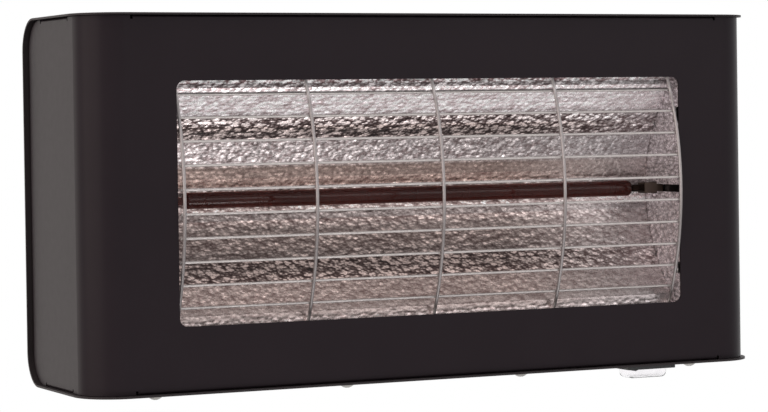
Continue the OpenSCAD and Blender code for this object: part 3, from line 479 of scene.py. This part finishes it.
def clear_silicone(name):
    """Clear silicone, slightly milky, with a soft moulded skin."""
    f = Finish(name, IOR=1.14, Transmission_Weight=1)
    f.colour(f.noise(5 * MM, detail=3),
             [(NOISE_LOW, (0.94, 0.93, 0.94)), (NOISE_HIGH, (0.99, 0.98, 0.99))])
    f.rough(f.noise(2 * MM), 0.02, 0.06)
    return f.bump((f.noise(2.6 * MM, detail=1), 0.01 * MM)).material


FINISHES = {
    "cover_coat": powder_coat("cover_coat", (0.0174, 0.0128, 0.0156), roughness=0.32,
                              depth=0.006 * MM, gloss=0.061),
    "shell_coat": powder_coat("shell_coat", (0.0250, 0.0205, 0.0220)),
    "bracket_coat": powder_coat("bracket_coat", (0.021, 0.020, 0.021), grain=0.9 * MM),
    "zinc_steel": plated_steel("zinc_steel", (0.60, 0.60, 0.58), 0.34),
    "screw_steel": plated_steel("screw_steel", (0.37, 0.355, 0.335), 0.38, spread=0.2),
    "black_screws": plated_steel("black_screws", (0.05, 0.05, 0.05), 0.4, spread=0.2),
    "guard_wire": plated_steel("guard_wire", (0.42, 0.385, 0.375), 0.45, spread=0.08,
                               metallic=0.55),
    # The uprights: darker than the guard wire as painted shade, with painted glints at their ends
    "guard_upright": upright_wire("guard_upright", colour=(0.34, 0.31, 0.31),
                                  darker_below=(0.20, 0.18, 0.18), ends=(0.85, 0.80, 0.80)),
    "hammered_aluminium": hammered_sheet("hammered_aluminium"),
    "embossed_aluminium": embossed_sheet("embossed_aluminium"),
    "rivet_aluminium": plated_steel("rivet_aluminium", (0.70, 0.70, 0.70), 0.32),
    "ruby_quartz": ruby_quartz("ruby_quartz"),
    "tungsten": plated_steel("tungsten", (0.30, 0.29, 0.28), 0.45),
    "lamp_ceramic": ceramic("lamp_ceramic", (0.060, 0.039, 0.030)),
    # The holder's near-black tone is painted shade: it keeps the slot round the lamp's end dark
    "holder_ceramic": ceramic("holder_ceramic", (0.045, 0.036, 0.034)),
    "nickel": plated_steel("nickel", (0.60, 0.57, 0.50), 0.25),
    "spring_steel": plated_steel("spring_steel", (0.50, 0.50, 0.50), 0.3),
    "brass": plated_steel("brass", (0.66, 0.50, 0.24), 0.3),
    "wire_brown": rubber("wire_brown", (0.13, 0.055, 0.025)),
    "wire_black": rubber("wire_black", (0.015, 0.015, 0.016)),
    "wire_blue": rubber("wire_blue", (0.03, 0.10, 0.38)),
    "wire_green": striped_rubber("wire_green", (0.13, 0.38, 0.03), stripe=(0.72, 0.62, 0.03)),
    "grommet_rubber": rubber("grommet_rubber", (0.02, 0.02, 0.02), roughness=0.65),
    "black_plastic": moulded("black_plastic", (0.020, 0.020, 0.021), 0.34, 0.5),
    "rocker_plastic": moulded("rocker_plastic", (0.012, 0.012, 0.013), 0.14, 0.24),
    "clear_boot": clear_silicone("clear_boot"),
    "white_nylon": moulded("white_nylon", (0.74, 0.74, 0.70), 0.4, 0.55),
}

# A node whose finish differs a little from the rest of its slot
# The uprights' own finish is a darker copy of the guard wire's, its darkness painted shade
FINISH_OF = {"guard_uprights": "guard_upright"}

# ---- The CAD nodes: finishes, smooth shading and eased edges ----
SHARP_FROM = math.radians(32)
EASED_FROM = math.radians(40)

# Width in millimetres of the small rounded edges on folded sheets and moulded parts
EASED = {
    "front_cover": 0.3, "rear_shell": 0.35, "tilt_bracket": 0.4, "wall_bracket": 0.5,
    "switch_housing": 0.4, "switch_rocker": 0.4, "holder_left": 0.5, "holder_right": 0.5,
    "lamp_bases": 0.4, "terminal_block": 0.5, "gland_body": 0.4, "gland_cap": 0.5,
    "frame_bracket_left": 0.3, "frame_bracket_right": 0.3, "holder_straps": 0.2,
}


def smooth_frame():
    for obj in nodes.values():
        obj.data.shade_smooth()
        obj.data.set_sharp_from_angle(angle=SHARP_FROM)


def dress_frame():
    """Every CAD node gets the finish of its own slot in the record."""
    slot_of = {part["node"]: part["material_slot"] for part in frame["record"]["subparts"]}
    for name, obj in nodes.items():
        obj.data.materials.clear()
        obj.data.materials.append(FINISHES[FINISH_OF.get(name, slot_of[name])])


def ease_edges():
    for name, width in EASED.items():
        bevel = nodes[name].modifiers.new("eased", "BEVEL")
        bevel.width = width * MM
        bevel.segments = 2
        bevel.limit_method = "ANGLE"
        bevel.angle_limit = EASED_FROM
        bevel.harden_normals = False


# ---- Pieces made here ----
def piece(name, points, faces, finish, stands_for):
    """A mesh on the heater's body that stands for one CAD node."""
    mesh = bpy.data.meshes.new(name)
    mesh.from_pydata(points, [], faces)
    mesh.update()
    mesh.shade_smooth()
    obj = new_object(name, mesh)
    mesh.materials.append(FINISHES[finish])
    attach(obj, "heater")
    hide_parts(stands_for)
    return obj


def paint(obj, colours):
    """Keep one colour a point in the mesh, for the material to read."""
    layer = obj.data.color_attributes.new("tone", "FLOAT_COLOR", "POINT")
    layer.data.foreach_set("color", colours.astype(np.float32).ravel())


def grid_faces(rows, columns, start=0, flip=False):
    """Quads between neighbouring points of a rows by columns grid."""
    corner = np.arange(rows - 1)[:, None] * columns + np.arange(columns - 1)[None, :] + start
    quads = np.stack([corner, corner + 1, corner + columns + 1, corner + columns], axis=-1)
    if flip:
        quads = quads[..., ::-1]
    return quads.reshape(-1, 4)


# ---- The trough's shape, in millimetres: as in the frame, but with the sheet's pebbles ----
# Heights of the creases on a parabola, then the lip and its return flange as (depth, height)
TROUGH_DEPTH = 44
TROUGH_K = 147
CREASES = [8, 22, 36.5, 49.5, 63]
LIP = [(14.5, 67.5), (14.5, 80.5), (23, 80.5)]
SHEET = 0.8

# How far apart the mesh's points are, and how often its corners are eased
STEP_ACROSS = 0.65
STEP_ALONG = 0.8
CORNER_PASSES = 2

# Pebbles: how far apart along and across the sheet, and how high
PEBBLE_W = 4.4
PEBBLE_H = 2.8
PEBBLE_LIFT = 0.26
# As shares of that: how far they stray, the lowest one, and the joints between them
STRAY_ALONG = 0.42
STRAY_ACROSS = 0.34
LOWEST_PEBBLE = 0.45
JOINT_WIDTH = 0.55
# Rows and columns of them beyond those that the sheet's size gives
SPARE_PEBBLES = 4

# Waves over the pebbles: height as a share of theirs, and length along and across in steps
WAVE_SHARE = 0.16
WAVE_ALONG = 2.4
WAVE_ACROSS = 1.5


def trough_line():
    """Inner face of the trough from bottom to top, as [depth, height]."""
    half = [(TROUGH_DEPTH - z * z / TROUGH_K, z) for z in CREASES] + LIP
    below = [(depth, -height) for depth, height in reversed(half)]
    return np.array(below + half)


def sampled(line, step):
    """Points every step along a polyline, with its corners eased, and how far along they are."""
    lengths = np.hypot(*np.diff(line, axis=0).T)
    along = np.concatenate([[0], np.cumsum(lengths)])
    count = int(along[-1] / step) + 1
    places = np.linspace(0, along[-1], count)
    points = np.stack([np.interp(places, along, line[:, i]) for i in (0, 1)], axis=1)
    for _ in range(CORNER_PASSES):
        points[1:-1] = (points[:-2] + 2 * points[1:-1] + points[2:]) / 4
    return points, places


def scatter_pebbles(rows, columns):
    """Each pebble's place along and across the sheet, and its height. Every other row is
    half a pebble on, and the first row and column lie just before the sheet."""
    half_step = 0.5 * (np.arange(rows)[:, None] % 2)
    seed_u = (np.arange(columns)[None, :] + half_step - 1) * PEBBLE_W
    seed_v = (np.arange(rows)[:, None] - 1) * PEBBLE_H + np.zeros((1, columns))
    seed_u = seed_u + chance.uniform(-STRAY_ALONG, STRAY_ALONG, seed_u.shape) * PEBBLE_W
    seed_v = seed_v + chance.uniform(-STRAY_ACROSS, STRAY_ACROSS, seed_v.shape) * PEBBLE_H
    lift = chance.uniform(LOWEST_PEBBLE, 1.0, seed_u.shape)
    return seed_u, seed_v, lift


def pebble_height(u, v):
    """Pebbled relief of the sheet at each (u, v): 0 in the joints, up to 1. It falls off
    where the nearest pebble and the next are as far away."""
    columns = int(u.max() / PEBBLE_W) + SPARE_PEBBLES
    rows = int(v.max() / PEBBLE_H) + SPARE_PEBBLES
    seed_u, seed_v, lift = scatter_pebbles(rows, columns)
    near_row = np.round(v / PEBBLE_H).astype(int) + 1
    near_column = np.round(u / PEBBLE_W).astype(int) + 1
    best = np.full(u.shape, np.inf)
    second = np.full(u.shape, np.inf)
    height = np.ones(u.shape)
    for dr in (-1, 0, 1):
        for dc in (-2, -1, 0, 1, 2):
            r = np.clip(near_row + dr, 0, rows - 1)
            c = np.clip(near_column + dc, 0, columns - 1)
            far = np.hypot((u - seed_u[r, c]) / PEBBLE_W, (v - seed_v[r, c]) / PEBBLE_H)
            closer = far < best
            second = np.where(closer, best, np.minimum(second, far))
            height = np.where(closer, lift[r, c], height)
            best = np.where(closer, far, best)
    edge = np.clip((second - best) / JOINT_WIDTH, 0, 1)
    return height * edge * (2 - edge)


def ripples(shape, along, across):
    """Smooth random waves on a grid, along and across samples long, of unit spread."""
    field = chance.normal(size=shape)
    for axis, length in ((1, along), (0, across)):
        reach = 3 * int(length + 1)
        steps = np.arange(-reach, reach + 1)
        kernel = np.exp(-0.5 * (steps / length) ** 2)
        field = np.apply_along_axis(np.convolve, axis, field, kernel, mode="same")
    return field / field.std()


# ---- The trough's tones: painted reflections of what it mirrors, by height in millimetres ----
# From the top down: the height where a band starts, its painted grey at the top and at the bottom,
# how much its pebbles stand out, and how brown it is with the ruby lamp's painted reflection
BANDS = [
    (80.5, 0.90, 0.90, 0.90, 0.10),
    (69.7, 0.20, 0.27, 0.65, 0.10),
    (67.5, 0.88, 0.88, 0.40, 0.10),
    (65.0, 0.18, 0.18, 0.15, 0.10),
    (63.2, 0.90, 0.88, 0.26, 0.00),
    (53.0, 0.84, 0.44, 0.34, 0.00),
    (49.5, 0.34, 0.28, 1.35, 0.30),
    (44.5, 0.23, 0.105, 1.45, 0.55),
    (40.5, 0.105, 0.18, 1.35, 0.50),
    (36.5, 0.235, 0.27, 0.42, 0.20),
    (22.0, 0.31, 0.20, 0.28, 0.60),
    (19.0, 0.165, 0.20, 0.18, 1.00),
    (13.0, 0.30, 0.56, 0.24, 1.00),
    (8.0, 0.30, 0.56, 0.50, 0.50),
    (-8.0, 0.20, 0.18, 0.35, 0.45),
    (-13.0, 0.27, 0.115, 0.55, 0.65),
    (-18.0, 0.112, 0.12, 0.40, 0.70),
    (-22.0, 0.175, 0.155, 0.50, 0.70),
    (-31.0, 0.142, 0.112, 0.55, 0.65),
    (-36.5, 0.175, 0.130, 1.15, 0.70),
    (-42.0, 0.130, 0.255, 1.05, 0.70),
    (-49.5, 0.33, 0.365, 0.30, 0.68),
    (-63.0, 0.31, 0.35, 0.20, 0.60),
    (-65.0, 0.38, 0.40, 0.20, 0.55),
    (-66.6, 0.28, 0.34, 0.16, 0.55),
    (-69.0, 0.48, 0.72, 0.14, 0.45),
    (-71.2, 0.78, 0.88, 0.12, 0.35),
    (-80.5, 0.88, 0.88, 0.12, 0.35),
]
# Tints of the painted reflections: pale grey, and brown for the ruby lamp's image
GREY = np.array([1.0, 0.925, 0.945])
BROWN = np.array([1.15, 0.83, 0.73])
DARKEST = 0.01
PALEST = 0.97

# Towards the right a painted reflection of the pale end wall: from where to where that grows,
# how high it reaches, its grey, and that of the painted glint line which it shows under the lamp
END_FROM = 60
END_TO = 160
END_REACH = 51
END_GREY = 0.37
GLINT_LINE_GREY = 0.97
GLINT_LINE_HEIGHT = -5.5
GLINT_LINE_HALF = 3.5
# How much of the painted mirror image shows there, how sharply it grows, and how much it takes
# of the brown and of the pebbles' contrast
END_SHARE = 0.95
END_GROWTH = 1.3
END_BROWN_LOSS = 0.65
END_CALM = 0.62


def band_values(height):
    """Painted grey, contrast and brownness of the trough at each height."""
    values = np.zeros((len(height), 3))
    for (top, start, end, contrast, brown), below in zip(BANDS, BANDS[1:]):
        inside = (height <= top) & (height > below[0])
        share = (top - height[inside]) / (top - below[0])
        values[inside, 0] = start + (end - start) * share
        values[inside, 1] = contrast
        values[inside, 2] = brown
    for outside, band in ((height <= BANDS[-1][0], BANDS[-1]), (height > BANDS[0][0], BANDS[0])):
        values[outside] = band[1], band[3], band[4]
    return values


def band_colours(height, x):
    """Painted colour of each point of the sheet, its reflections, glint line and shade, and in the
    fourth place its contrast.
    """
    grey, contrast, brown = (column[:, None] for column in band_values(height).T)
    near_end = np.clip((x[None, :] - END_FROM) / (END_TO - END_FROM), 0, 1)
    mirrored = END_SHARE * near_end ** END_GROWTH * (np.abs(height)[:, None] < END_REACH)
    under_lamp = np.abs(height - GLINT_LINE_HEIGHT) < GLINT_LINE_HALF
    target = np.where(under_lamp, GLINT_LINE_GREY, END_GREY)[:, None]
    grey = grey + mirrored * (target - grey)
    tint = GREY + (brown * (1 - END_BROWN_LOSS * near_end))[:, :, None] * (BROWN - GREY)
    colour = np.clip(grey[:, :, None] * tint, DARKEST, PALEST)
    strength = contrast * (1 - END_CALM * near_end)
    return np.concatenate([colour, strength[:, :, None]], axis=2).reshape(-1, 4)


def sheet_faces(rows, columns):
    """Faces of a closed sheet whose front grid of points comes before its back grid."""
    count = rows * columns
    front = grid_faces(rows, columns)
    back = grid_faces(rows, columns, start=count, flip=True)
    ring = np.concatenate([np.arange(columns), np.arange(1, rows) * columns + columns - 1,
                           (rows - 1) * columns + np.arange(columns - 2, -1, -1),
                           np.arange(rows - 2, 0, -1) * columns])
    after = np.roll(ring, -1)
    rim = np.stack([ring, ring + count, after + count, after], axis=-1)
    return np.concatenate([front, back, rim]).tolist()


def build_trough():
    """The trough as a closed sheet, its pebbles half above and half below its plain faces."""
    half_x = end_low.x / MM
    line, v = sampled(trough_line(), STEP_ACROSS)
    u = np.linspace(-half_x, half_x, int(2 * half_x / STEP_ALONG))
    tangent = np.gradient(line, axis=0)
    tangent /= np.hypot(*tangent.T)[:, None]
    inward = np.stack([-tangent[:, 1], tangent[:, 0]], axis=1)
    pebbles = pebble_height(*np.meshgrid(u - u[0], v))
    pebbles = pebbles + WAVE_SHARE * ripples(pebbles.shape, WAVE_ALONG, WAVE_ACROSS)
    relief = PEBBLE_LIFT * (pebbles - 0.5)
    sides = []
    for offset in (0, -SHEET):
        depth = line[:, None, 0] + inward[:, None, 0] * (offset + relief)
        height = line[:, None, 1] + inward[:, None, 1] * (offset + relief)
        place = np.stack([np.broadcast_to(u[None, :], relief.shape) * MM,
                          FACE_Y + depth * MM, MID_Z + height * MM], axis=-1)
        sides.append(place.reshape(-1, 3))
    trough = piece("reflector_trough_sheet", np.concatenate(sides).tolist(),
                   sheet_faces(*relief.shape), "embossed_aluminium", "reflector_trough")
    # The bands' painted reflections, glint line and shade go on as the mesh's colour
    paint(trough, np.tile(band_colours(line[:, 1], u), (2, 1)))


# ---- Coils round the lamp's axis ----
STEPS_A_TURN = 12

FILAMENT_WIRE_R = 0.13 * MM
FILAMENT_INSET = 0.12 * MM
FILAMENT_PITCH = 0.75 * MM
FILAMENT_TAIL = 4 * MM
FILAMENT_LEAD = 0.5 * MM

SPRING_WIRE_R = 0.4 * MM
SPRING_PITCH = 1.4 * MM
SPRING_PLAY = 0.05 * MM


def helix(start, end, turns, radius):
    """Points of a coil about the lamp's axis, from one x to another."""
    angle = np.linspace(0, turns * 2 * math.pi, turns * STEPS_A_TURN + 1)
    x = np.linspace(start, end, len(angle))
    return np.stack([x, LAMP_Y + radius * np.cos(angle), LAMP_Z + radius * np.sin(angle)], axis=1)


def tube(path, radius, sides):
    """Points and faces of a closed tube along a path."""
    tangent = np.gradient(path, axis=0)
    tangent /= np.linalg.norm(tangent, axis=1)[:, None]
    # A direction well off the one in which the path starts
    helper = (0, 0, 1) if abs(tangent[0][2]) < 0.9 else (1, 0, 0)
    side = np.cross(tangent[0], helper)
    angle = np.arange(sides) * 2 * math.pi / sides
    rings = []
    for place, along in zip(path, tangent):
        side = side - along * side.dot(along)
        side /= np.linalg.norm(side)
        up = np.cross(along, side)
        rings.append(place + radius * (np.cos(angle)[:, None] * side + np.sin(angle)[:, None] * up))
    faces = []
    for first in range(0, (len(path) - 1) * sides, sides):
        for k in range(sides):
            j = (k + 1) % sides
            faces.append([first + k, first + j, first + sides + j, first + sides + k])
    last = (len(path) - 1) * sides
    faces.append(list(range(sides - 1, -1, -1)))
    faces.append(list(range(last, last + sides)))
    return np.concatenate(rings).tolist(), faces


def build_filament():
    """Helical coil along the lamp's axis, with a straight tail at each end."""
    low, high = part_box("lamp_filament")
    turns = int((high.x - low.x - 2 * FILAMENT_TAIL) / FILAMENT_PITCH)
    start = -turns * FILAMENT_PITCH / 2
    coil = helix(start, -start, turns, (high.z - low.z) / 2 - FILAMENT_INSET)
    left = [[low.x, LAMP_Y, LAMP_Z], [start - FILAMENT_LEAD, LAMP_Y, LAMP_Z]]
    right = [[-start + FILAMENT_LEAD, LAMP_Y, LAMP_Z], [high.x, LAMP_Y, LAMP_Z]]
    points, faces = tube(np.concatenate([left, coil, right]), FILAMENT_WIRE_R, sides=6)
    piece("lamp_filament_coil", points, faces, "tungsten", "lamp_filament")


def build_springs():
    """Coil springs round the contact pins' stems."""
    for side in ("left", "right"):
        sleeve = "spring_" + side
        low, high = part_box(sleeve)
        length = high.x - low.x
        edge = SPRING_WIRE_R + SPRING_PLAY
        path = helix(low.x + edge, high.x - edge, int(length / SPRING_PITCH),
                     (high.z - low.z) / 2 - SPRING_WIRE_R)
        points, faces = tube(path, SPRING_WIRE_R, sides=8)
        coil = piece(sleeve + "_coil", points, faces, "spring_steel", sleeve)
        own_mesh(coil)


# ---- Floor ----
FLOOR_HALF = 20.0
FLOOR_Z = -3.9
FLOOR_COLOUR = (0.80, 0.80, 0.79)
# Paleness that the floor has of its own where the camera sees it, so that it meets the
# white background without an edge
FLOOR_HAZE = 0.62


def floor_paint():
    """Pale paint that metal and glass mirror as the white background."""
    f = Finish("floor_paint", roughness=0.7)
    f.colour(f.noise(0.3, detail=4), tones(FLOOR_COLOUR, 0.02))
    f.bump((f.noise(0.01), 0.0002))
    haze = f.add("ShaderNodeEmission")
    seen = is_ray(f.tree, "Is Camera Ray")
    f.link(f.math("MULTIPLY", seen, FLOOR_HAZE), haze.inputs["Strength"])
    hazy = f.add("ShaderNodeAddShader")
    f.link(f.shader.outputs[0], hazy.inputs[0])
    f.link(haze.outputs[0], hazy.inputs[1])
    mirrored = is_ray(f.tree, "Is Glossy Ray", "Is Transmission Ray")
    white = glow(f.tree, "ShaderNodeEmission", WHITE, BACKGROUND_LEVEL)
    surface = mixed(f.tree, mirrored, hazy.outputs[0], white.outputs[0])
    f.link(surface, f.tree.nodes["Material Output"].inputs["Surface"])
    return f.material


def build_floor():
    mesh = bpy.data.meshes.new("floor")
    corners = [(x * FLOOR_HALF, y * FLOOR_HALF, FLOOR_Z)
               for x, y in ((-1, -1), (1, -1), (1, 1), (-1, 1))]
    mesh.from_pydata(corners, [], [[0, 1, 2, 3]])
    mesh.materials.append(floor_paint())
    new_object("floor", mesh)


add_camera()
light_stage()
build_floor()
smooth_frame()
dress_frame()
ease_edges()
build_trough()
build_filament()
build_springs()

bpy.context.scene.view_settings.view_transform = "Standard"
